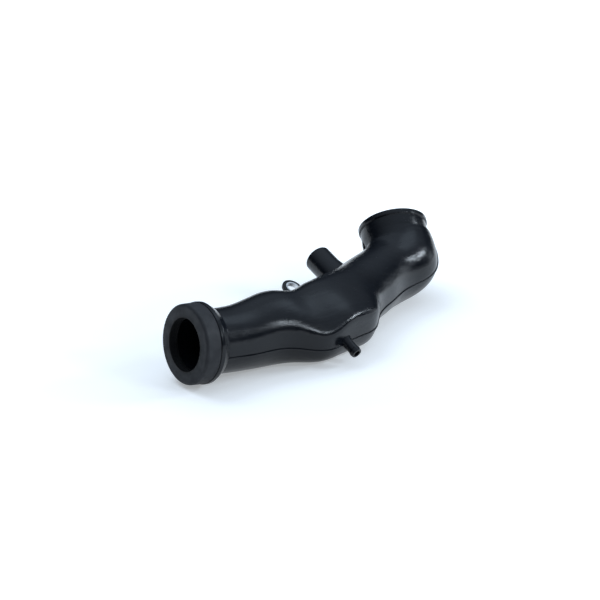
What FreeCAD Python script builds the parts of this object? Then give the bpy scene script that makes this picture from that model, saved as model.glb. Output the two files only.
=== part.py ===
"""Moulded air intake duct of a car engine, with the rubber seal on its inlet and the steel bush in its fixing ear.

The frame has its origin at the middle of the inlet mouth, X along the inlet's heading into the duct and Z up.
The duct lies as it comes to rest, so the inlet axis dips a little towards the inside.
"""
import FreeCAD, Part
import os
import Sketcher

# Distance within which an edge counts as the one looked for
CLOSE = 1e-4

doc = FreeCAD.newDocument("air_intake_duct")
sheet = doc.addObject("Spreadsheet::Sheet", "Sizes")

# Sections of the duct from the inlet to the neck. Each has its distance from the one before, its heading, pitch
# and roll in degrees, its reach from the middle line to the front, back, top and bottom, and how full its front
# corners are: the round corner value makes a circle, and one would make them square.
ROUND = 0.7071
SECTION_COLUMNS = ("run", "heading", "pitch", "roll", "front", "back", "top", "bottom", "shoulder")
SECTIONS = {
    "collar": (0, 0, -7, 14, 33.5, 33.5, 33.5, 33.5, ROUND),
    "throat": (12.25, 0, -7, 14, 33.5, 33.5, 33.5, 33.5, ROUND),
    "barrel": (34, 2, -3, 14, 34.5, 34.5, 34.5, 34.5, ROUND),
    "hump": (31, 3, 0, 15, 36.5, 38.5, 38.5, 35.5, ROUND),
    "flare": (20, 3, 0, 17, 44.5, 38, 38.5, 32.5, 0.74),
    "waist": (19, 6, 0, 18, 54.5, 28.5, 34, 31, 0.80),
    "chamber_start": (24.5, 12, 0, 17, 54.5, 29.5, 38, 31, 0.86),
    "chamber": (27.5, 15, 0, 17, 54.5, 31.5, 38, 30.5, 0.90),
    "chamber_end": (18, 18.5, 0, 17, 53, 33, 37, 30, 0.90),
    "step": (16.5, 21, 0, 16, 44.5, 33.5, 36, 32, 0.82),
    "joint": (19, 23, 0, 15, 38.5, 33.5, 35, 34.5, 0.74),
    "reach": (27.5, 24.5, 0, 14, 36, 35, 35, 35, ROUND),
    "bend_start": (54, 23, 3, 12, 36.5, 36.5, 36.5, 36.5, ROUND),
    "bend": (26, 40, 25, 8, 46, 36.5, 38, 38, ROUND),
    "bend_end": (23.3, 66, 43.5, 0, 41, 37, 38.5, 38.5, ROUND),
    "neck": (4, 66, 43.5, 0, 40, 37.5, 38.5, 38.5, ROUND),
}

SIZES = {
    # Duct wall and the ridge along the line where the two mould halves met
    "wall": 3.0,
    "round_corner": ROUND,
    "ridge_height": 1.0,
    "ridge_end_height": 0.1,
    "ridge_width": 1.8,
    # Spigot that the seal sits on, and the tapered collar that stops the seal
    "inlet_tilt": 7.0,
    "spigot_radius": 32.0,
    "spigot_wall": 3.0,
    "collar_radius": 42.0,
    "collar_width": 5.0,
    "collar_taper": 8.0,
    "collar_back_radius": 37.0,
    # Rubber seal
    "seal_bore": 27.5,
    "seal_depth": 9.5,
    "seal_lip_width": 2.0,
    "seal_lip_height": 1.0,
    "seal_length": 17.0,
    "seal_radius": 41.0,
    "seal_back_radius": 41.4,
    "seal_front_round": 3.0,
    "seal_back_round": 1.0,
    "seal_fit": 0.1,
    "seal_end_gap": 0.3,
    # Neck at the outlet, with the bead at its rim and the band for the hose clamp
    "neck_band_radius": 37.3,
    "neck_band_width": 13.5,
    "neck_bead_radius": 38.8,
    "neck_bead_width": 6.0,
    "neck_bore": 33.5,
    "neck_bead_round": 1.2,
    # Breather stub on the back
    "stub_heading": 88.0,
    "stub_pitch": 19.0,
    "stub_reach": 70.4,
    "stub_radius": 15.0,
    "stub_root_radius": 16.5,
    "stub_seat": 22.0,
    "stub_bore": 12.0,
    "stub_chamfer": 1.0,
    # Vacuum nipple on the front
    "nipple_shift": 5.0,
    "nipple_rise": 13.0,
    "nipple_heading": -85.0,
    "nipple_pitch": -28.0,
    "nipple_root": 30.0,
    "nipple_reach": 77.0,
    "nipple_radius": 5.6,
    "nipple_bead_radius": 6.2,
    "nipple_bead_width": 5.0,
    "nipple_bore": 3.5,
    # Fixing ear and its bush
    "ear_shift": 13.5,
    "ear_reach": 39.5,
    "ear_radius": 11.5,
    "ear_root": 12.0,
    "ear_roll": 29.0,
    "ear_thickness": 4.0,
    "bush_radius": 7.8,
    "bush_bore": 6.0,
    "bush_length": 4.6,
    "bush_fit": 0.05,
    "bush_end_room": 0.5,
}


def fill_sheet():
    """Writes every driving size into the sheet under its own alias."""
    sizes = dict(SIZES)
    for name, values in SECTIONS.items():
        for column, value in zip(SECTION_COLUMNS, values):
            sizes[f"{name}_{column}"] = value
    for row, (alias, value) in enumerate(sizes.items(), 1):
        sheet.set(f"A{row}", alias)
        sheet.set(f"B{row}", str(value))
        sheet.setAlias(f"B{row}", alias)
    doc.recompute()


def turned(heading, pitch, roll):
    """Expression of a rotation whose X axis points along a heading and pitch, rolled about that axis."""
    return f"rotationz({heading}) * rotationy(-({pitch})) * rotationx({roll})"


def along(distance, heading, pitch):
    """Expression of a step of some distance along a heading and pitch."""
    level = f"{distance} * cos({pitch})"
    return f"vector({level} * cos({heading}); {level} * sin({heading}); {distance} * sin({pitch}))"


def new_body(name):
    body = doc.addObject("PartDesign::Body", name)
    body.Label = name
    return body


def new_sketch(body, name, placement):
    """Sketch on the body's own XY plane, moved by a placement expression."""
    sketch = body.newObject("Sketcher::SketchObject", name)
    plane = next(feature for feature in body.Origin.OriginFeatures if feature.Role == "XY_Plane")
    sketch.AttachmentSupport = [(plane, "")]
    sketch.MapMode = "FlatFace"
    sketch.setExpression("AttachmentOffset", placement)
    return sketch


def pin_point(sketch, geometry, vertex, x, y):
    """Ties a point of a sketch to two size expressions, measured from the sketch's origin."""
    for kind, expression in (("DistanceX", x), ("DistanceY", y)):
        value = float(sketch.evalExpression(expression))
        index = sketch.addConstraint(Sketcher.Constraint(kind, -1, 1, geometry, vertex, value))
        sketch.setExpression(f"Constraints[{index}]", expression)


# Sections of the duct

# A section's sketch has its x axis to the back of the duct, its y axis up and its normal along the duct
ACROSS = "rotation(vector(1; 1; 1); 120)"


def section_placements():
    """Placement expression of every section, each chained to the one before by its run."""
    placements = {}
    before = None
    for name in SECTIONS:
        rotation = turned(f"Sizes.{name}_heading", f"Sizes.{name}_pitch", f"Sizes.{name}_roll")
        if before is None:
            base = along("(Sizes.seal_length + Sizes.collar_width)", "0", "-Sizes.inlet_tilt")
        else:
            last = f"outer_{before}.AttachmentOffset.Base"
            heading = f"((Sizes.{before}_heading + Sizes.{name}_heading) / 2)"
            pitch = f"((Sizes.{before}_pitch + Sizes.{name}_pitch) / 2)"
            base = f"{last} + {along(f'Sizes.{name}_run', heading, pitch)}"
        placements[name] = f"placement({base}; {rotation} * {ACROSS})"
        before = name
    return placements


def section_sketch(body, prefix, name, placement, inset):
    """Closed smooth section through its four reaches, less an inset all round."""
    sketch = new_sketch(body, f"{prefix}_{name}", placement)
    full = f"Sizes.{name}_shoulder"
    plain = "Sizes.round_corner"
    reach = {side: f"(Sizes.{name}_{side} - {inset})" for side in ("front", "back", "top", "bottom")}
    # A pole on an axis stands far enough out that the curve passes through the reach itself
    back = f"{reach['back']} * 6 / (4 + 2 * {plain})"
    front = f"{reach['front']} * 6 / (4 + 2 * {full})"
    top = f"{reach['top']} * 6 / (4 + {plain} + {full})"
    bottom = f"{reach['bottom']} * 6 / (4 + {plain} + {full})"
    poles = (
        (back, "0"),
        (f"{plain} * {back}", f"{plain} * {top}"),
        ("0", top),
        (f"-{full} * {front}", f"{full} * {top}"),
        (f"-{front}", "0"),
        (f"-{full} * {front}", f"-{full} * {bottom}"),
        ("0", f"-{bottom}"),
        (f"{plain} * {back}", f"-{plain} * {bottom}"),
    )
    places = [FreeCAD.Vector(float(sketch.evalExpression(x)), float(sketch.evalExpression(y)), 0) for x, y in poles]
    curve = sketch.addGeometry(Part.BSplineCurve(places, None, None, True, 3, None, False), False)
    sketch.exposeInternalGeometry(curve)
    for index, (x, y) in enumerate(poles, 1):
        pin_point(sketch, index, 3, x, y)
    return sketch


def outline(sketch, corners):
    """Closed outline of straight lines through corners given as pairs of size expressions."""
    places = [FreeCAD.Vector(float(sketch.evalExpression(x)), float(sketch.evalExpression(y)), 0) for x, y in corners]
    lines = []
    for start, end in zip(places, places[1:] + places[:1]):
        lines.append(sketch.addGeometry(Part.LineSegment(start, end), False))
    for line, following in zip(lines, lines[1:] + lines[:1]):
        sketch.addConstraint(Sketcher.Constraint("Coincident", line, 2, following, 1))
    for line, (x, y) in zip(lines, corners):
        pin_point(sketch, line, 1, x, y)


def ridge_sketch(body, name, placement, height):
    """Flat strip across a section, standing proud of the front and the back by a height."""
    sketch = new_sketch(body, f"ridge_{name}", placement)
    front = f"-(Sizes.{name}_front + {height})"
    back = f"Sizes.{name}_back + {height}"
    low, high = "-Sizes.ridge_width / 2", "Sizes.ridge_width / 2"
    outline(sketch, ((front, low), (back, low), (back, high), (front, high)))
    return sketch


def loft(body, kind, name, sketches):
    feature = body.newObject(kind, name)
    feature.Profile = sketches[0]
    feature.Sections = sketches[1:]
    feature.Refine = False
    return feature


def turned_piece(body, kind, name, placement, corners):
    """Revolution or groove about the x axis of its own sketch, from corners given as (along, radius)."""
    sketch = new_sketch(body, f"{name}_profile", placement)
    outline(sketch, corners)
    feature = body.newObject(kind, name)
    feature.Profile = sketch
    feature.ReferenceAxis = (sketch, ["H_Axis"])
    feature.Angle = 360
    feature.Refine = False
    doc.recompute()
    return feature


def round_rims(body, name, profile, rims, size):
    """Fillet on the round edges of the last feature, found by their station on a profile's axis and their radius."""
    last = body.Tip
    frame = profile.Placement.inverse()
    wanted = [(float(body.evalExpression(station)), float(body.evalExpression(radius))) for station, radius in rims]
    edges = []
    for index, edge in enumerate(last.Shape.Edges, 1):
        if not isinstance(edge.Curve, Part.Circle):
            continue
        station = frame.multVec(edge.Curve.Center).x
        for place, radius in wanted:
            if abs(station - place) < CLOSE and abs(edge.Curve.Radius - radius) < CLOSE:
                edges.append(f"Edge{index}")
    fillet = body.newObject("PartDesign::Fillet", name)
    fillet.Base = (last, edges)
    fillet.setExpression("Radius", size)
    doc.recompute()


def make_duct():
    body = new_body("intake_duct")
    placements = section_placements()
    names = list(SECTIONS)

    outer = [section_sketch(body, "outer", name, placements[name], "0") for name in names]
    doc.recompute()

    # Neck at the outlet, measured along its axis from the step where the duct ends
    neck = f"placement(outer_neck.AttachmentOffset.Base; {turned('Sizes.neck_heading', 'Sizes.neck_pitch', '0')})"
    neck_root = "-Sizes.neck_run"
    bead_face = "Sizes.neck_band_width"
    rim = "Sizes.neck_band_width + Sizes.neck_bead_width"
    turned_piece(body, "PartDesign::Revolution", "neck_rim", neck, (
        (neck_root, "0"), (neck_root, "Sizes.neck_band_radius"), (bead_face, "Sizes.neck_band_radius"),
        (bead_face, "Sizes.neck_bead_radius"), (rim, "Sizes.neck_bead_radius"), (rim, "0")))
    bead_rims = [(bead_face, "Sizes.neck_bead_radius"), (rim, "Sizes.neck_bead_radius")]
    round_rims(body, "neck_bead_round", doc.getObject("neck_rim_profile"), bead_rims, "Sizes.neck_bead_round")

    # Outer skin and the ridge along its parting line
    loft(body, "PartDesign::AdditiveLoft", "outer_shell", outer)
    same_place = {name: f"outer_{name}.AttachmentOffset" for name in names}
    heights = {name: "Sizes.ridge_height" for name in names}
    heights[names[0]] = heights[names[-1]] = "Sizes.ridge_end_height"
    ridge = [ridge_sketch(body, name, same_place[name], heights[name]) for name in names]
    loft(body, "PartDesign::AdditiveLoft", "parting_ridge", ridge)
    doc.recompute()

    # Spigot and collar at the inlet
    inlet = f"placement(vector(0; 0; 0); {turned('0', '-Sizes.inlet_tilt', '0')})"
    collar_face = "Sizes.seal_length"
    collar_edge = "Sizes.seal_length + Sizes.collar_width"
    collar_back = "Sizes.seal_length + Sizes.collar_width + Sizes.collar_taper"
    spigot_end = "Sizes.seal_depth + Sizes.seal_end_gap"
    spigot_bore = "Sizes.spigot_radius - Sizes.spigot_wall"
    turned_piece(body, "PartDesign::Revolution", "spigot", inlet, (
        (spigot_end, "0"), (spigot_end, "Sizes.spigot_radius"), (collar_face, "Sizes.spigot_radius"),
        (collar_face, "Sizes.collar_radius"), (collar_edge, "Sizes.collar_radius"),
        (collar_back, "Sizes.collar_back_radius"), (collar_back, "0")))

    # Breather stub, tapered up to the straight seat of its hose
    seat_end = "Sizes.stub_reach - Sizes.stub_chamfer"
    seat_root = "Sizes.stub_reach - Sizes.stub_chamfer - Sizes.stub_seat"
    stub_turn = turned("Sizes.stub_heading", "Sizes.stub_pitch", "0")
    stub = f"placement(outer_joint.AttachmentOffset.Base; {stub_turn})"
    turned_piece(body, "PartDesign::Revolution", "breather_stub", stub, (
        ("0", "0"), ("0", "Sizes.stub_root_radius"), (seat_root, "Sizes.stub_radius"), (seat_end, "Sizes.stub_radius"),
        ("Sizes.stub_reach", "Sizes.stub_radius - Sizes.stub_chamfer"), ("Sizes.stub_reach", "0")))

    # Vacuum nipple with its bead
    start = "outer_chamber_start.AttachmentOffset.Base"
    nipple_base = f"{start} + vector(Sizes.nipple_shift; 0; Sizes.nipple_rise)"
    nipple_turn = turned("Sizes.nipple_heading", "Sizes.nipple_pitch", "0")
    nipple = f"placement({nipple_base}; {nipple_turn})"
    bead_root = "Sizes.nipple_reach - Sizes.nipple_bead_width"
    turned_piece(body, "PartDesign::Revolution", "vacuum_nipple", nipple, (
        ("Sizes.nipple_root", "0"), ("Sizes.nipple_root", "Sizes.nipple_radius"),
        (bead_root, "Sizes.nipple_radius"), (bead_root, "Sizes.nipple_bead_radius"),
        ("Sizes.nipple_reach", "Sizes.nipple_radius"), ("Sizes.nipple_reach", "0")))

    # Fixing ear
    ear_pad = body.newObject("PartDesign::Pad", "fixing_ear")
    ear_pad.Profile = ear_sketch(body, "ear_outline", "Sizes.ear_radius", "Sizes.ear_root")
    ear_pad.Midplane = True
    ear_pad.setExpression("Length", "Sizes.ear_thickness")
    ear_pad.Refine = False
    doc.recompute()

    # Inside: the passage, the two ends, the stub, the nipple and the hole in the ear
    inner = [section_sketch(body, "inner", name, same_place[name], "Sizes.wall") for name in names]
    loft(body, "PartDesign::SubtractiveLoft", "passage", inner)
    doc.recompute()
    turned_piece(body, "PartDesign::Groove", "spigot_passage", inlet, (
        (spigot_end, "0"), (spigot_end, spigot_bore), (collar_back, spigot_bore), (collar_back, "0")))
    turned_piece(body, "PartDesign::Groove", "neck_passage", neck, (
        (neck_root, "0"), (neck_root, "Sizes.neck_bore"), (rim, "Sizes.neck_bore"), (rim, "0")))
    turned_piece(body, "PartDesign::Groove", "stub_passage", stub, (
        ("0", "0"), ("0", "Sizes.stub_bore"), ("Sizes.stub_reach", "Sizes.stub_bore"), ("Sizes.stub_reach", "0")))
    turned_piece(body, "PartDesign::Groove", "nipple_passage", nipple, (
        ("Sizes.nipple_root", "0"), ("Sizes.nipple_root", "Sizes.nipple_bore"),
        ("Sizes.nipple_reach", "Sizes.nipple_bore"), ("Sizes.nipple_reach", "0")))
    hole = body.newObject("PartDesign::Pocket", "ear_hole")
    hole.Profile = ear_hole_sketch(body, "ear_hole_outline", "Sizes.bush_radius")
    hole.Midplane = True
    hole.setExpression("Length", "Sizes.bush_length + 2 * Sizes.bush_end_room")
    hole.Refine = False
    doc.recompute()
    return body


def ear_placement():
    """The ear's plane runs along the duct and out to the back, rolled up from the level."""
    start = "outer_chamber_start.AttachmentOffset.Base"
    heading = "((Sizes.chamber_start_heading + Sizes.chamber_heading) / 2)"
    base = f"{start} + {along('Sizes.ear_shift', heading, '0')}"
    return f"placement({base}; {turned(heading, '0', 'Sizes.ear_roll')})"


def ear_sketch(body, name, radius, root):
    """Tab with a round end, from inside the duct out to the ear's hole."""
    sketch = new_sketch(body, name, ear_placement())
    reach = float(sketch.evalExpression("Sizes.ear_reach"))
    half = float(sketch.evalExpression(radius))
    foot = float(sketch.evalExpression(root))
    point = FreeCAD.Vector
    right, left = point(half, reach, 0), point(-half, reach, 0)
    end = sketch.addGeometry(Part.Arc(right, point(0, reach + half, 0), left), False)
    sides = [
        sketch.addGeometry(Part.LineSegment(left, point(-half, foot, 0)), False),
        sketch.addGeometry(Part.LineSegment(point(-half, foot, 0), point(half, foot, 0)), False),
        sketch.addGeometry(Part.LineSegment(point(half, foot, 0), right), False),
    ]
    chain = [(end, 2, sides[0], 1), (sides[0], 2, sides[1], 1), (sides[1], 2, sides[2], 1), (sides[2], 2, end, 1)]
    for joint in chain:
        sketch.addConstraint(Sketcher.Constraint("Coincident", *joint))
    pin_point(sketch, end, 3, "0", "Sizes.ear_reach")
    pin_point(sketch, end, 1, radius, "Sizes.ear_reach")
    sketch.addConstraint(Sketcher.Constraint("Horizontal", end, 3, end, 2))
    pin_point(sketch, sides[1], 1, f"-{radius}", root)
    pin_point(sketch, sides[1], 2, radius, root)
    return sketch


def add_circle(sketch, centre, radius):
    """Circle on the ear's hole, with its radius tied to a size expression."""
    size = float(sketch.evalExpression(radius))
    circle = sketch.addGeometry(Part.Circle(centre, FreeCAD.Vector(0, 0, 1), size), False)
    pin_point(sketch, circle, 3, "0", "Sizes.ear_reach")
    index = sketch.addConstraint(Sketcher.Constraint("Radius", circle, size))
    sketch.setExpression(f"Constraints[{index}]", radius)


def ear_hole_sketch(body, name, radius):
    sketch = new_sketch(body, name, ear_placement())
    centre = FreeCAD.Vector(0, float(sketch.evalExpression("Sizes.ear_reach")), 0)
    add_circle(sketch, centre, radius)
    return sketch


def make_seal():
    """Rubber seal on the spigot, with a rounded front and a small lip inside its mouth."""
    body = new_body("inlet_seal")
    inlet = f"placement(vector(0; 0; 0); {turned('0', '-Sizes.inlet_tilt', '0')})"
    pocket = "Sizes.spigot_radius + Sizes.seal_fit"
    lip = "Sizes.seal_bore - Sizes.seal_lip_height"
    lip_face = "Sizes.seal_depth - Sizes.seal_lip_width"
    turned_piece(body, "PartDesign::Revolution", "seal_ring", inlet, (
        ("0", "Sizes.seal_bore"), ("0", "Sizes.seal_radius"), ("Sizes.seal_length", "Sizes.seal_back_radius"),
        ("Sizes.seal_length", pocket), ("Sizes.seal_depth", pocket), ("Sizes.seal_depth", lip), (lip_face, lip),
        (lip_face, "Sizes.seal_bore")))
    profile = doc.getObject("seal_ring_profile")
    round_rims(body, "seal_front_rounding", profile, [("0", "Sizes.seal_radius")], "Sizes.seal_front_round")
    back_rim = [("Sizes.seal_length", "Sizes.seal_back_radius")]
    round_rims(body, "seal_back_rounding", profile, back_rim, "Sizes.seal_back_round")
    return body


def make_bush():
    """Steel sleeve that keeps the fixing bolt from crushing the ear."""
    body = new_body("ear_bush")
    sketch = new_sketch(body, "bush_section", ear_placement())
    centre = FreeCAD.Vector(0, float(sketch.evalExpression("Sizes.ear_reach")), 0)
    for radius in ("Sizes.bush_radius - Sizes.bush_fit", "Sizes.bush_bore"):
        add_circle(sketch, centre, radius)
    pad = body.newObject("PartDesign::Pad", "bush_sleeve")
    pad.Profile = sketch
    pad.Midplane = True
    pad.setExpression("Length", "Sizes.bush_length")
    doc.recompute()
    return body


def check_and_write(bodies):
    """Stops on any failed object or bad shape, then writes one file for each body."""
    doc.recompute()
    failed = [item.Name for item in doc.Objects if {"Invalid", "Error"} & set(item.State)]
    if failed:
        raise RuntimeError(f"failed objects: {failed}")
    for body in bodies:
        if body.Shape.isNull() or not body.Shape.isValid() or len(body.Shape.Solids) != 1:
            raise RuntimeError(f"bad shape: {body.Label}")
    os.makedirs("parts", exist_ok=True)
    for body in bodies:
        body.Shape.exportStep(f"parts/{body.Label}.step")
        print(body.Label, round(body.Shape.Volume), body.Shape.BoundBox)


fill_sheet()
check_and_write([make_duct(), make_seal(), make_bush()])
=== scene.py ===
from collections import namedtuple
from math import cos, radians, sin, tau

import bmesh
import bpy
import numpy as np
from mathutils import Matrix, Vector
from mathutils.bvhtree import BVHTree


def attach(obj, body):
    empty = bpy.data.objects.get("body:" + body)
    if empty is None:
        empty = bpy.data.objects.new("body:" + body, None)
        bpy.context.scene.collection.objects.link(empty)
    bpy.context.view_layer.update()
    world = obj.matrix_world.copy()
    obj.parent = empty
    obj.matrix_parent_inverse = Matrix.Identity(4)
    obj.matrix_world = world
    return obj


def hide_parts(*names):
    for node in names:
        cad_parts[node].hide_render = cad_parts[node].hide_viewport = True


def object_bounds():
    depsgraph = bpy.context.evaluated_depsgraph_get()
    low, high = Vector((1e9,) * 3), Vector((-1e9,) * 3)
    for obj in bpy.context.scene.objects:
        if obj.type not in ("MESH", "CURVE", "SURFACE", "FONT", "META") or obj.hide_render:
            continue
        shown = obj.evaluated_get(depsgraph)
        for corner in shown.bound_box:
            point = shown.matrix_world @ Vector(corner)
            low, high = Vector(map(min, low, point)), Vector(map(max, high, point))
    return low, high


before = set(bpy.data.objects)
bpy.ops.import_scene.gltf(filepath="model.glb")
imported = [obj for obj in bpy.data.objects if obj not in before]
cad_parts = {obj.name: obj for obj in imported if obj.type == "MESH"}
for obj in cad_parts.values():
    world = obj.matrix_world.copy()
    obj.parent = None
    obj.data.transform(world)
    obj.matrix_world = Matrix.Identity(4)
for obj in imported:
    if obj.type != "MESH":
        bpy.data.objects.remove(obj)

CAD_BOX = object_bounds()
FLOOR_Z = CAD_BOX[0].z
MILLIMETRE = 0.001

# Camera, from the vanishing of the inlet's circles in the photograph
CAMERA_PLACE = Vector((-1.1277, -1.7183, 0.7945))
CAMERA_FORWARD = Vector((0.5590, 0.7554, -0.3420))
CAMERA_LENS = 132.0
SENSOR_WIDTH = 36.0
CLIP_RANGE = (0.05, 40.0)

# Sizes of the duct's skin, in millimetres and degrees of the row frame

# Sections from the collar to the neck: distance from the one before, direction, reach to each side and
# squareness of the lower front, then the shoulder's place as parts of the front and top reaches, and its
# weight, where no weight leaves a plain round front
Section = namedtuple("Section", "run heading pitch roll front back top bottom square out up weight")
SECTIONS = {
    "collar": Section(0, 0, -7, 14, 33.5, 33.5, 33.5, 33.5, 2.0, 0.86, 0.62, 0.0),
    "throat": Section(12.25, 0, -7, 14, 33.5, 33.5, 33.5, 33.5, 2.0, 0.86, 0.62, 0.2),
    "barrel": Section(34, 2, -3, 14, 34.5, 34.5, 34.5, 34.5, 2.0, 0.88, 0.60, 0.45),
    "hump": Section(31, 3, 0, 15, 36.5, 38.5, 38.5, 35.5, 2.1, 0.90, 0.56, 0.7),
    "flare": Section(20, 3, 0, 17, 44.5, 38, 38.5, 32.5, 2.3, 0.92, 0.53, 0.9),
    "waist": Section(19, 6, 0, 18, 54.5, 28.5, 36, 31, 2.5, 0.94, 0.49, 1.0),
    "chamber_start": Section(24.5, 12, 0, 17, 54.5, 29.5, 38, 31, 2.8, 0.94, 0.64, 1.0),
    "chamber": Section(27.5, 15, 0, 17, 54.5, 31.5, 38, 30.5, 3.0, 0.94, 0.66, 1.0),
    "chamber_end": Section(18, 18.5, 0, 17, 53, 33, 37, 30, 3.0, 0.94, 0.62, 1.0),
    "step": Section(16.5, 21, 0, 16, 44.5, 33.5, 36, 32, 2.5, 0.92, 0.56, 0.8),
    "joint": Section(19, 23, 0, 15, 38.5, 33.5, 35, 34.5, 2.1, 0.90, 0.56, 0.45),
    "reach": Section(27.5, 24.5, 0, 14, 36, 35, 35, 35, 2.0, 0.88, 0.60, 0.2),
    "bend_start": Section(54, 23, 3, 12, 36.5, 36.5, 36.5, 36.5, 2.0, 0.86, 0.62, 0.0),
    "bend": Section(26, 40, 25, 8, 46, 36.5, 38, 38, 2.0, 0.86, 0.62, 0.0),
    "bend_end": Section(23.3, 66, 43.5, 0, 41, 37, 38.5, 38.5, 2.0, 0.86, 0.62, 0.0),
    "neck": Section(4, 66, 43.5, 0, 40, 37.5, 38.5, 38.5, 2.0, 0.86, 0.62, 0.0),
}
WALL = 3.0

# Poles of a section, whose closed curve runs a little inside them
POLES = 24
OUTWARD = 6.0 / (4.0 + 2.0 * cos(tau / POLES))
# Poles that the shoulder moves: two on the slope from the crest, then its corner with one on each side
SHOULDER_POLES = range(7, 12)
SHOULDER_SIZE = 9.0
SLOPE_PARTS = (0.35, 0.70)
# Where the slope begins to fall, as parts of the front and top reaches
BROW_OUT = 0.55
BROW_UP = 0.96

# Points between two poles, and the distances between rings of points
RING_STEPS = 7
RING_SPACING = 1.3
LINING_SPACING = 2 * RING_SPACING
TURNED_STEPS = 144
STUB_STEPS = 96
NIPPLE_STEPS = 64
EAR_STEPS = 96

# Ridge along the parting line
RIDGE_HEIGHT = 1.0
RIDGE_END_HEIGHT = 0.1
RIDGE_EDGE_PART = 0.7
RIDGE_DEPTH = 2.0
RIDGE_HALF_WIDTH = 0.9
RIDGE_CREST_HALF_WIDTH = 0.5

# Spigot under the seal, and the tapered collar that stops the seal
INLET_TILT = 7.0
SPIGOT_MOUTH = 9.8
SPIGOT_END = 30.0
SPIGOT_END_RADIUS = 31.2
SPIGOT_RADIUS = 32.0
SPIGOT_BORE = 29.0
COLLAR_FACE = 17.0
COLLAR_BACK = 22.0
COLLAR_RADIUS = 42.0
COLLAR_FACE_ROUND = 0.8
COLLAR_BACK_ROUND = 1.0
COLLAR_BACK_ANGLE = 58.0
COLLAR_TAPER = ((28.6, 37.5), (30.5, 36.0), (32.0, 33.2))

# Neck, whose root is sunk into the end of the duct
NECK_DEPTH = 4.0
NECK_ROOT_RADII = (34.0, 36.5)
NECK_BAND_RADIUS = 37.3
NECK_BAND_WIDTH = 13.5
NECK_BAND_CORNER = 0.3
NECK_BEAD_RADIUS = 38.8
NECK_BEAD_WIDTH = 6.0
NECK_BEAD_ROUND = 1.2
NECK_BORE = 33.5
NECK_BORE_ROUND = 0.6
NECK_BORE_ROOT = 36.0
NECK_STEP_PART = 0.12

# Breather stub
STUB_HEADING = 88.0
STUB_PITCH = 19.0
STUB_ROOT_RADIUS = 16.5
STUB_RADIUS = 15.0
STUB_BORE = 12.0
STUB_REACH = 70.4
STUB_SEAT_START = 47.4
STUB_SEAT_END = 69.2
STUB_ROUND = 1.0
STUB_BORE_ROUND = 0.6

# Vacuum nipple, with a bead of (along, radius) near its tip
NIPPLE_SHIFT = Vector((5.0, 0.0, 13.0))
NIPPLE_HEADING = -85.0
NIPPLE_PITCH = -28.0
NIPPLE_ROOT_RADIUS = 7.4
NIPPLE_RADIUS = 5.6
NIPPLE_BORE = 3.5
NIPPLE_STEM = (62.0, 71.6)
NIPPLE_BEAD = ((72.0, 6.0), (72.6, 6.2), (74.0, 6.2), (76.2, 5.7))
NIPPLE_REACH = 77.0
NIPPLE_TIP_RADIUS = 5.7
NIPPLE_ROUND = 0.6
NIPPLE_BORE_ROUND = 0.4

# Fixing ear, between the start and the middle of the chamber
EAR_SHIFT = 13.5
EAR_ROLL = 29.0
EAR_REACH = 39.5
EAR_RADIUS = 11.5
EAR_ROOT = 28.5
EAR_HOLE = 7.8
EAR_THICKNESS = 4.0
EAR_EDGE = 0.6

# Edges that stay sharp in the shading
DUCT_SHARP_ANGLE = 32.0
CAD_SHARP_ANGLE = 30.0

# Radii in metres between which painted shade darkens the seal's bore
SEAL_PAINTED_SHADE_DARKEST = 0.0274
SEAL_PAINTED_SHADE_EDGE = 0.0290

# Floor: its colour as seen, the duller one that lights the part, and its glow by metres from the part,
# which is weaker near the part as painted shade around it
FLOOR_HALF = 9.0
FLOOR_SEEN = (0.86, 0.87, 0.88, 1)
FLOOR_BOUNCE = (0.36, 0.37, 0.39, 1)
GLOW_COLOUR = (0.93, 0.97, 1.0, 1)
GLOW_RANGE = {"From_Min": 0.2, "From_Max": 0.6, "To_Min": 0.36, "To_Max": 0.80}

# Room around the part, by height above the horizon
ROOM_LOW = (0.35, (0.034, 0.041, 0.052, 1))
ROOM_HIGH = (0.95, (0.68, 0.79, 0.92, 1))
ROOM_STRENGTH = 0.9


# Node materials

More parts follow.
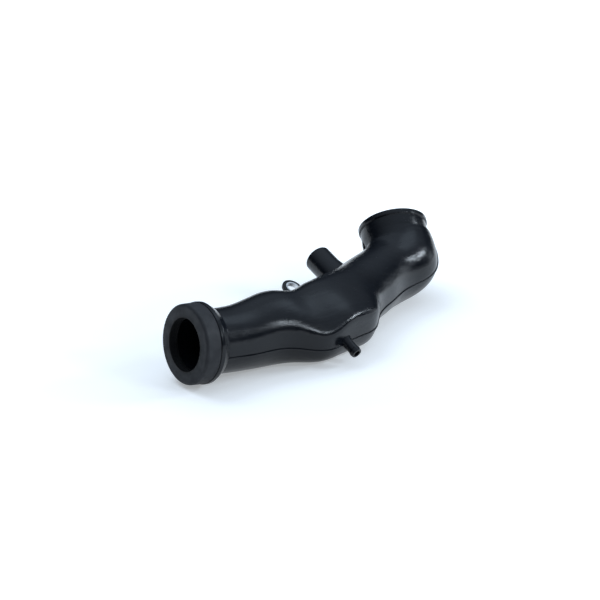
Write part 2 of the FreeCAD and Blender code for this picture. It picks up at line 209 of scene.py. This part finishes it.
class Nodes:
    """Builds one node material, with short calls for the nodes that it uses."""

    def __init__(self, name):
        self.material = bpy.data.materials.new(name)
        self.material.use_nodes = True
        self.tree = self.material.node_tree
        self.shader = self.tree.nodes["Principled BSDF"]
        self.place = self.add("ShaderNodeTexCoord").outputs["Object"]

    def add(self, kind, **inputs):
        """New node, with inputs named with _ for spaces."""
        node = self.tree.nodes.new(kind)
        self.feed(node, **inputs)
        return node

    def feed(self, node, **inputs):
        """Sets a node's inputs to constants, or links them to other nodes' outputs."""
        for name, value in inputs.items():
            socket = node.inputs[name.replace("_", " ")]
            if isinstance(value, bpy.types.NodeSocket):
                self.tree.links.new(value, socket)
            else:
                socket.default_value = value

    def noise(self, scale, detail=3.0, roughness=0.5, stretch=(1, 1, 1)):
        """Noise over the piece's own place in metres, stretched by a scale along each axis."""
        mapping = self.add("ShaderNodeMapping", Scale=stretch, Vector=self.place)
        texture = self.add("ShaderNodeTexNoise", Scale=scale, Detail=detail, Roughness=roughness,
                           Vector=mapping.outputs["Vector"])
        return texture.outputs["Fac"]

    def ramp(self, value, low, high, start=0.3, end=0.7):
        """Value mapped to a number or a colour from low to high."""
        node = self.add("ShaderNodeValToRGB", Fac=value)
        for stop, position, shade in zip(node.color_ramp.elements, (start, end), (low, high)):
            stop.position = position
            stop.color = (*shade, 1) if isinstance(shade, tuple) else (shade, shade, shade, 1)
        return node.outputs["Color"]

    def radius_about_inlet(self):
        """Distance from the inlet's axis in metres."""
        level = self.add("ShaderNodeMapping", Rotation=(0, -radians(INLET_TILT), 0), Scale=(0, 1, 1),
                         Vector=self.place)
        size = self.add("ShaderNodeVectorMath")
        size.operation = "LENGTH"
        self.tree.links.new(level.outputs["Vector"], size.inputs[0])
        return size.outputs["Value"]

    def bump(self, height, strength, distance, below=None):
        node = self.add("ShaderNodeBump", Height=height, Strength=strength, Distance=distance)
        if below is not None:
            self.feed(node, Normal=below)
        return node.outputs["Normal"]

    def mix(self, factor, first, second, blend="MIX"):
        node = self.add("ShaderNodeMix")
        node.data_type = "RGBA"
        node.blend_type = blend
        self.feed(node, Factor=factor, A=first, B=second)
        return node.outputs["Result"]

    def math(self, operation, first, second):
        node = self.add("ShaderNodeMath")
        node.operation = operation
        self.tree.links.new(first, node.inputs[0])
        self.tree.links.new(second, node.inputs[1])
        return node.outputs[0]


def duct_plastic():
    """Satin black moulded plastic: faint clouding, flow streaks and a fine grain."""
    n = Nodes("duct_plastic")
    cloud = n.ramp(n.noise(26.0, 4.0), (0.0040, 0.0052, 0.0078), (0.0066, 0.0084, 0.0120))
    grain = n.noise(1500.0, 2.0)
    speckle = n.ramp(grain, 0.82, 1.12, start=0.25, end=0.75)
    streaks = n.noise(170.0, 5.0, 0.6, stretch=(0.35, 1.6, 1.6))
    soft = n.bump(streaks, strength=0.34, distance=0.0006)
    n.feed(
        n.shader,
        Base_Color=n.mix(1.0, cloud, speckle, "MULTIPLY"),
        Roughness=n.ramp(streaks, 0.17, 0.28),
        Normal=n.bump(grain, strength=0.32, distance=0.00012, below=soft),
        IOR=1.5,
        Specular_IOR_Level=0.3)
    return n.material


def seal_rubber():
    """Matte rubber with a dusty bloom and a soft grain, with painted shade in its bore."""
    n = Nodes("seal_rubber")
    bloom = n.ramp(n.noise(42.0, 5.0, 0.6), (0.020, 0.021, 0.024), (0.034, 0.035, 0.039))
    # Painted shade: the colour darkens towards the inlet's axis, inside the bore
    painted_bore_shade = n.ramp(n.radius_about_inlet(), 0.12, 1.0, SEAL_PAINTED_SHADE_DARKEST, SEAL_PAINTED_SHADE_EDGE)
    n.feed(
        n.shader,
        Base_Color=n.mix(1.0, bloom, painted_bore_shade, "MULTIPLY"),
        Roughness=n.ramp(n.noise(120.0, 4.0), 0.56, 0.74),
        Normal=n.bump(n.noise(900.0, 3.0), strength=0.25, distance=0.0002),
        IOR=1.48,
        Specular_IOR_Level=0.4)
    return n.material


def bush_steel():
    """Bright steel with fine marks."""
    n = Nodes("bush_steel")
    marks = n.noise(700.0, 4.0, 0.6)
    n.feed(
        n.shader,
        Base_Color=n.ramp(marks, (0.60, 0.61, 0.63), (0.80, 0.81, 0.83)),
        Roughness=n.ramp(marks, 0.22, 0.40),
        Normal=n.bump(marks, strength=0.12, distance=0.0001),
        Metallic=1.0)
    return n.material


def floor_white():
    """White to the camera and in reflections, duller where it lights the part; its glow is weaker near the
    part as painted shade, and brighter away from it.
    """
    n = Nodes("floor_white")
    path = n.add("ShaderNodeLightPath")
    seen = path.outputs["Is Camera Ray"]
    for kind in ("Is Glossy Ray", "Is Transmission Ray"):
        seen = n.math("MAXIMUM", seen, path.outputs[kind])
    n.feed(
        n.shader,
        Base_Color=n.mix(seen, FLOOR_BOUNCE, FLOOR_SEEN),
        Roughness=0.6,
        Specular_IOR_Level=0.2)
    # Painted shade on the floor: the glow grows with distance from the part, so the floor is darker around
    # it
    away = n.add("ShaderNodeVectorMath")
    away.operation = "DISTANCE"
    away.inputs[1].default_value = (CAD_BOX[0] + CAD_BOX[1]) / 2
    n.tree.links.new(n.place, away.inputs[0])
    level = n.add("ShaderNodeMapRange", Value=away.outputs["Value"], **GLOW_RANGE)
    strength = n.math("MULTIPLY", seen, level.outputs["Result"])
    glow = n.add("ShaderNodeEmission", Color=GLOW_COLOUR, Strength=strength)
    both = n.add("ShaderNodeAddShader")
    n.tree.links.new(n.shader.outputs[0], both.inputs[0])
    n.tree.links.new(glow.outputs[0], both.inputs[1])
    n.feed(n.tree.nodes["Material Output"], Surface=both.outputs[0])
    return n.material


# Curves and meshes of the skin

Frame = namedtuple("Frame", "middle rotation station")


def turn(heading, pitch, roll=0.0):
    """Rotation whose X axis points along a heading and pitch, rolled about that axis."""
    spin = Matrix.Rotation(radians(heading), 3, "Z") @ Matrix.Rotation(-radians(pitch), 3, "Y")
    return spin @ Matrix.Rotation(radians(roll), 3, "X")


def section_frames():
    """Middle point, rotation and distance along the duct of every section."""
    frames = {}
    middle = turn(0, -INLET_TILT) @ Vector((COLLAR_BACK, 0, 0))
    station = 0.0
    last = SECTIONS["collar"]
    for name, section in SECTIONS.items():
        way = turn((last.heading + section.heading) / 2, (last.pitch + section.pitch) / 2)
        middle = middle + way @ Vector((section.run, 0, 0))
        station += section.run
        frames[name] = Frame(middle, turn(section.heading, section.pitch, section.roll), station)
        last = section
    return frames


def section_poles(section, inset):
    """Poles of one section as (to the back, up), from the back over the top to the front and under it."""
    front = section.front - inset
    back = section.back - inset
    top = section.top - inset
    bottom = section.bottom - inset
    power = 2 / section.square
    poles = []
    for index in range(POLES):
        angle = tau * index / POLES
        c, s = cos(angle), sin(angle)
        if c < 0 and s < 0:
            poles.append(Vector((-front * abs(c) ** power, -bottom * abs(s) ** power)))
        else:
            poles.append(Vector(((back if c > 0 else front) * c, (top if s > 0 else bottom) * s)))
    crest, side = Vector((0, top)), Vector((-front, 0))
    corner = Vector((-front * section.out, top * section.up))
    brow = Vector((-front * BROW_OUT, top * BROW_UP))
    slope = [crest.lerp(brow, t).lerp(brow.lerp(corner, t), t) for t in SLOPE_PARTS]
    above = corner + SHOULDER_SIZE * (slope[1] - corner).normalized()
    below = corner + SHOULDER_SIZE * (side - corner).normalized()
    for index, place in zip(SHOULDER_POLES, (*slope, above, corner, below)):
        poles[index] = poles[index].lerp(place, section.weight)
    return [pole * OUTWARD for pole in poles]


def ridge_polygon(reach, side, height):
    """Low strip with rounded edges at the front or the back of a section."""
    sunk = side * (reach - RIDGE_DEPTH)
    edge = side * (reach + RIDGE_EDGE_PART * height)
    crest = side * (reach + height)
    wide, narrow = RIDGE_HALF_WIDTH, RIDGE_CREST_HALF_WIDTH
    return [(sunk, -wide), (edge, -wide), (crest, -narrow), (crest, narrow), (edge, wide), (sunk, wide)]


def spline(stations, values, wanted):
    """Natural cubic spline through rows of values, read at the wanted stations."""
    stations, values = np.array(stations), np.array(values)
    count = len(stations)
    gaps = np.diff(stations)
    matrix = np.eye(count)
    right = np.zeros_like(values)
    slopes = np.diff(values, axis=0) / gaps[:, None]
    for i in range(1, count - 1):
        matrix[i, i - 1:i + 2] = gaps[i - 1], 2 * (gaps[i - 1] + gaps[i]), gaps[i]
        right[i] = 6 * (slopes[i] - slopes[i - 1])
    bends = np.linalg.solve(matrix, right)
    rows = []
    for place in wanted:
        i = min(max(int(np.searchsorted(stations, place)) - 1, 0), count - 2)
        gap = gaps[i]
        b = (place - stations[i]) / gap
        a = 1 - b
        lift = (a ** 3 - a) * bends[i] + (b ** 3 - b) * bends[i + 1]
        rows.append(a * values[i] + b * values[i + 1] + lift * gap * gap / 6)
    return np.array(rows)


def closed_curve(poles):
    """Points of the closed cubic curve of some poles."""
    points = []
    for t in np.linspace(0, 1, RING_STEPS, endpoint=False):
        weights = ((1 - t) ** 3, 3 * t ** 3 - 6 * t ** 2 + 4, -3 * t ** 3 + 3 * t ** 2 + 3 * t + 1, t ** 3)
        points.append(sum(w / 6 * np.roll(poles, 1 - shift, axis=0) for shift, w in enumerate(weights)))
    return np.stack(points, axis=1).reshape(-1, 3)


def placed(section_frame, polygon):
    """Points of a polygon of (to the back, up) in a section's plane."""
    return [section_frame.middle + section_frame.rotation @ Vector((0, x, y)) for x, y in polygon]


def lofted(frames, polygons, spacing, shape=closed_curve):
    """Rings of points along the duct through one polygon in the plane of each section."""
    stations = [section_frame.station for section_frame in frames.values()]
    wanted = np.linspace(0, stations[-1], int(stations[-1] / spacing))
    rows = []
    for section_frame, polygon in zip(frames.values(), polygons):
        rows.append([c for point in placed(section_frame, polygon) for c in point])
    return [shape(row.reshape(-1, 3)) for row in spline(stations, rows, wanted)]


def circle(base, rotation, place, radius, steps):
    """Ring of points at one place along the rotation's X axis."""
    angles = [tau * i / steps for i in range(steps)]
    return [base + rotation @ Vector((place, radius * cos(a), radius * sin(a))) for a in angles]


def arc(centre, radius, start, end, steps=6):
    """Points (along, radius) of a rounded corner, by angles in degrees from the axis."""
    angles = [radians(start + (end - start) * i / steps) for i in range(steps + 1)]
    return [(centre[0] + radius * cos(a), centre[1] + radius * sin(a)) for a in angles]


def open_tip(reach, radius, rounding, bore, bore_rounding):
    """Points (along, radius) round the open end of a tube, from its outside into its bore."""
    outside = arc((reach - rounding, radius - rounding), rounding, 90, 0)
    inside = arc((reach - bore_rounding, bore + bore_rounding), bore_rounding, 0, -90)
    return [*outside, *inside]


def smooth(piece, angle):
    piece.data.polygons.foreach_set("use_smooth", [True] * len(piece.data.polygons))
    piece.data.set_sharp_from_angle(angle=radians(angle))


class Skin:
    """Collects rings of points and the faces between them."""

    def __init__(self):
        self.points = []
        self.faces = []

    def tree(self):
        return BVHTree.FromPolygons(self.points, self.faces)

    def add_rings(self, rings, closed=False):
        """Faces between each ring and the next, and over both ends where they are closed."""
        count = len(rings[0])
        first = len(self.points)
        for ring in rings:
            self.points.extend(tuple(point) for point in ring)
        for row in range(len(rings) - 1):
            low = first + row * count
            for i in range(count):
                j = (i + 1) % count
                self.faces.append((low + i, low + j, low + count + j, low + count + i))
        if closed:
            last = first + (len(rings) - 1) * count
            self.faces.append(tuple(reversed(range(first, first + count))))
            self.faces.append(tuple(range(last, last + count)))

    def add_turned(self, base, rotation, profile):
        """Surface of revolution of a profile of (along, radius) about the rotation's X axis.

        A point that is given twice makes a hard line in the shading there.
        """
        self.add_rings([circle(base, rotation, place, radius, TURNED_STEPS) for place, radius in profile])

    def add_branch(self, base, rotation, root, profile, bore, walls, steps):
        """Open tube: its root is sunk into the outer wall, and its bore runs out on the inner wall."""
        tip = max(place for place, _ in profile)
        inward = rotation @ Vector((-1, 0, 0))
        outer, inner = walls
        root_ring = []
        for point in circle(base, rotation, tip, root, steps):
            root_ring.append(outer.ray_cast(point, inward)[0] + inward * WALL / 2)
        bore_ring = [inner.ray_cast(point, inward)[0] for point in circle(base, rotation, tip, bore, steps)]
        self.cut_bore(base, rotation, (root + bore) / 2, tip)
        tube = [circle(base, rotation, place, radius, steps) for place, radius in profile]
        self.add_rings([root_ring, *tube, bore_ring])

    def cut_bore(self, base, rotation, radius, end):
        """Drops the faces whose middle lies in a round bore that leads from the base to its end."""
        kept = []
        for face in self.faces:
            middle = sum((Vector(self.points[i]) for i in face), Vector()) / len(face)
            along, across, up = (middle - base) @ rotation
            if not 0 < along < end or across ** 2 + up ** 2 > radius ** 2:
                kept.append(face)
        self.faces = kept

    def make(self, name, material):
        """Piece in metres, without the points that a bore has left loose."""
        mesh = bpy.data.meshes.new(name)
        mesh.from_pydata([tuple(c * MILLIMETRE for c in point) for point in self.points], [], self.faces)
        shape = bmesh.new()
        shape.from_mesh(mesh)
        loose = [point for point in shape.verts if not point.link_faces]
        bmesh.ops.delete(shape, geom=loose, context="VERTS")
        bmesh.ops.recalc_face_normals(shape, faces=shape.faces)
        shape.to_mesh(mesh)
        shape.free()
        mesh.materials.append(material)
        piece = bpy.data.objects.new(name, mesh)
        bpy.context.scene.collection.objects.link(piece)
        smooth(piece, DUCT_SHARP_ANGLE)
        return piece


# Parts of the duct

def add_shell(skin, frames):
    """Outer and inner walls with the ridges, and the two walls as trees that rays can meet."""
    sections = SECTIONS.values()
    skin.add_rings(lofted(frames, [section_poles(section, 0.0) for section in sections], RING_SPACING))
    lining = Skin()
    lining_rings = lofted(frames, [section_poles(section, WALL) for section in sections], LINING_SPACING)
    lining.add_rings(lining_rings)
    walls = skin.tree(), lining.tree()
    skin.add_rings(lining_rings)
    heights = [RIDGE_END_HEIGHT] + [RIDGE_HEIGHT] * (len(sections) - 2) + [RIDGE_END_HEIGHT]
    fronts = [section.front for section in sections]
    backs = [section.back for section in sections]
    for reaches, side in ((fronts, -1), (backs, 1)):
        strips = [ridge_polygon(reach, side, height) for reach, height in zip(reaches, heights)]
        skin.add_rings(lofted(frames, strips, RING_SPACING, lambda poles: poles), closed=True)
    return walls


def add_inlet(skin):
    """Spigot and tapered collar."""
    face_middle = (COLLAR_FACE + COLLAR_FACE_ROUND, COLLAR_RADIUS - COLLAR_FACE_ROUND)
    back_middle = (COLLAR_BACK - COLLAR_BACK_ROUND, COLLAR_RADIUS - COLLAR_BACK_ROUND)
    skin.add_turned(Vector((0, 0, 0)), turn(0, -INLET_TILT), [
        (SPIGOT_END, SPIGOT_END_RADIUS), (SPIGOT_END, SPIGOT_BORE), (SPIGOT_MOUTH, SPIGOT_BORE),
        (SPIGOT_MOUTH, SPIGOT_RADIUS), (COLLAR_FACE, SPIGOT_RADIUS),
        (COLLAR_FACE, COLLAR_RADIUS - COLLAR_FACE_ROUND), *arc(face_middle, COLLAR_FACE_ROUND, 180, 90),
        *arc(back_middle, COLLAR_BACK_ROUND, 90, COLLAR_BACK_ANGLE), *COLLAR_TAPER])


def add_neck(skin, neck):
    """Step where the duct ends, then the band for a clamp and the bead at the rim."""
    end_ring = closed_curve(np.array(placed(neck, section_poles(SECTIONS["neck"], 0.0))))
    skin.add_rings([end_ring, [Vector(point).lerp(neck.middle, NECK_STEP_PART) for point in end_ring]])
    rim = NECK_BAND_WIDTH + NECK_BEAD_WIDTH
    bead_middle = NECK_BEAD_RADIUS - NECK_BEAD_ROUND
    bore_edge = NECK_BORE + NECK_BORE_ROUND
    skin.add_turned(neck.middle, neck.rotation, [
        *((-NECK_DEPTH, radius) for radius in NECK_ROOT_RADII), (0, NECK_BAND_RADIUS),
        (NECK_BAND_WIDTH - NECK_BAND_CORNER, NECK_BAND_RADIUS), (NECK_BAND_WIDTH, bead_middle),
        *arc((NECK_BAND_WIDTH + NECK_BEAD_ROUND, bead_middle), NECK_BEAD_ROUND, 180, 90),
        *arc((rim - NECK_BEAD_ROUND, bead_middle), NECK_BEAD_ROUND, 90, 0), (rim, bore_edge),
        *arc((rim - NECK_BORE_ROUND, bore_edge), NECK_BORE_ROUND, 0, -90),
        (-NECK_DEPTH, NECK_BORE), (-NECK_DEPTH, NECK_BORE_ROOT)])


def add_stub(skin, frames, walls):
    """Breather stub, from the middle of the section after the step."""
    tip = open_tip(STUB_REACH, STUB_RADIUS, STUB_ROUND, STUB_BORE, STUB_BORE_ROUND)
    profile = [(STUB_SEAT_START, STUB_RADIUS), (STUB_SEAT_END, STUB_RADIUS), *tip]
    skin.add_branch(frames["joint"].middle, turn(STUB_HEADING, STUB_PITCH), STUB_ROOT_RADIUS, profile,
                    STUB_BORE, walls, STUB_STEPS)


def add_nipple(skin, frames, walls):
    """Vacuum nipple with its bead."""
    tip = open_tip(NIPPLE_REACH, NIPPLE_TIP_RADIUS, NIPPLE_ROUND, NIPPLE_BORE, NIPPLE_BORE_ROUND)
    profile = [*((place, NIPPLE_RADIUS) for place in NIPPLE_STEM), *NIPPLE_BEAD, *tip]
    skin.add_branch(frames["chamber_start"].middle + NIPPLE_SHIFT, turn(NIPPLE_HEADING, NIPPLE_PITCH),
                    NIPPLE_ROOT_RADIUS, profile, NIPPLE_BORE, walls, NIPPLE_STEPS)


def add_ear(skin, frames):
    """Flat tab with a round end and a hole for the bush, its edges a little rounded."""
    heading = (SECTIONS["chamber_start"].heading + SECTIONS["chamber"].heading) / 2
    base = frames["chamber_start"].middle + turn(heading, 0) @ Vector((EAR_SHIFT, 0, 0))
    rotation = turn(heading, 0, EAR_ROLL)
    half = EAR_THICKNESS / 2
    angles = [tau * i / EAR_STEPS for i in range(EAR_STEPS)]

    def outline(inset, level):
        points = []
        for angle in angles:
            c, s = cos(angle), sin(angle)
            size = EAR_RADIUS - inset
            if s < 0:
                size = min(size / max(abs(c), 1e-6), (EAR_REACH - EAR_ROOT) / abs(s))
            points.append(base + rotation @ Vector((size * c, EAR_REACH + size * s, level)))
        return points

    def rim(level):
        places = [(EAR_HOLE * cos(a), EAR_REACH + EAR_HOLE * sin(a), level) for a in angles]
        return [base + rotation @ Vector(place) for place in places]

    skin.add_rings([
        rim(-half), outline(EAR_EDGE, -half), outline(0, EAR_EDGE - half), outline(0, half - EAR_EDGE),
        outline(EAR_EDGE, half), rim(half), rim(-half)])


def make_duct():
    skin = Skin()
    frames = section_frames()
    walls = add_shell(skin, frames)
    add_inlet(skin)
    add_neck(skin, frames["neck"])
    add_stub(skin, frames, walls)
    add_nipple(skin, frames, walls)
    add_ear(skin, frames)
    return skin.make("duct_body", duct_plastic())


duct = make_duct()
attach(duct, "root")
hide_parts("intake_duct")

# The seal and the bush keep their CAD meshes
for node, material, slot in (("inlet_seal", seal_rubber(), "seal"), ("ear_bush", bush_steel(), "bush")):
    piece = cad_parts[node]
    piece.data.materials.clear()
    piece.data.materials.append(material)
    smooth(piece, CAD_SHARP_ANGLE)


# Floor, light and camera

def make_floor():
    mesh = bpy.data.meshes.new("floor")
    corners = ((-1, -1), (1, -1), (1, 1), (-1, 1))
    mesh.from_pydata([(x * FLOOR_HALF, y * FLOOR_HALF, FLOOR_Z) for x, y in corners], [], [(0, 1, 2, 3)])
    mesh.materials.append(floor_white())
    floor = bpy.data.objects.new("floor", mesh)
    bpy.context.scene.collection.objects.link(floor)


def make_world():
    """Bright overhead, dark towards the horizon, as in a room with a lit ceiling."""
    world = bpy.data.worlds.new("studio")
    bpy.context.scene.world = world
    world.use_nodes = True
    tree = world.node_tree
    place = tree.nodes.new("ShaderNodeTexCoord")
    split = tree.nodes.new("ShaderNodeSeparateXYZ")
    ramp = tree.nodes.new("ShaderNodeValToRGB")
    for stop, (position, colour) in zip(ramp.color_ramp.elements, (ROOM_LOW, ROOM_HIGH)):
        stop.position = position
        stop.color = colour
    tree.links.new(place.outputs["Generated"], split.inputs[0])
    tree.links.new(split.outputs["Z"], ramp.inputs["Fac"])
    background = tree.nodes["Background"]
    tree.links.new(ramp.outputs["Color"], background.inputs["Color"])
    background.inputs["Strength"].default_value = ROOM_STRENGTH


def add_softbox(name, place, aim, size, power, colour, reflected=True):
    """Area lamp that looks from its place to its aim, and may be left out of reflections."""
    data = bpy.data.lights.new(name, "AREA")
    data.shape = "RECTANGLE"
    data.size, data.size_y = size
    data.energy = power
    data.color = colour
    light = bpy.data.objects.new(name, data)
    bpy.context.scene.collection.objects.link(light)
    light.visible_glossy = reflected
    light.location = place
    light.rotation_mode = "QUATERNION"
    light.rotation_quaternion = (Vector(aim) - Vector(place)).to_track_quat("-Z", "Y")


def make_lamps():
    """One broad lamp overhead that is left out of reflections, and four that the gloss mirrors."""
    add_softbox("ceiling", place=(0.1, 0.95, 1.5), aim=(0.2, 0.05, 0.0), size=(1.7, 1.0), power=13.0,
                colour=(0.74, 0.87, 1.0), reflected=False)
    add_softbox("sheen", place=(1.08, 0.02, 1.35), aim=(0.15, 0.0, 0.0), size=(0.7, 0.6), power=1.2,
                colour=(0.70, 0.85, 1.0))
    add_softbox("window", place=(1.43, -0.71, 0.73), aim=(0.2, 0.0, 0.0), size=(0.5, 0.10), power=8.0,
                colour=(0.80, 0.90, 1.0))
    add_softbox("lamp", place=(0.60, -1.32, 0.80), aim=(0.13, -0.04, 0.0), size=(0.35, 0.15), power=5.0,
                colour=(0.80, 0.90, 1.0))
    add_softbox("card", place=(1.70, -0.32, 0.20), aim=(0.3, 0.03, 0.0), size=(0.5, 0.35), power=0.8,
                colour=(0.82, 0.91, 1.0))


def make_camera():
    data = bpy.data.cameras.new("camera")
    data.lens = CAMERA_LENS
    data.sensor_width = SENSOR_WIDTH
    data.clip_start, data.clip_end = CLIP_RANGE
    camera = bpy.data.objects.new("camera", data)
    bpy.context.scene.collection.objects.link(camera)
    camera.location = CAMERA_PLACE
    camera.rotation_mode = "QUATERNION"
    camera.rotation_quaternion = CAMERA_FORWARD.to_track_quat("-Z", "Y")
    bpy.context.scene.camera = camera


make_floor()
make_world()
make_lamps()
make_camera()
bpy.context.scene.view_settings.view_transform = "Standard"
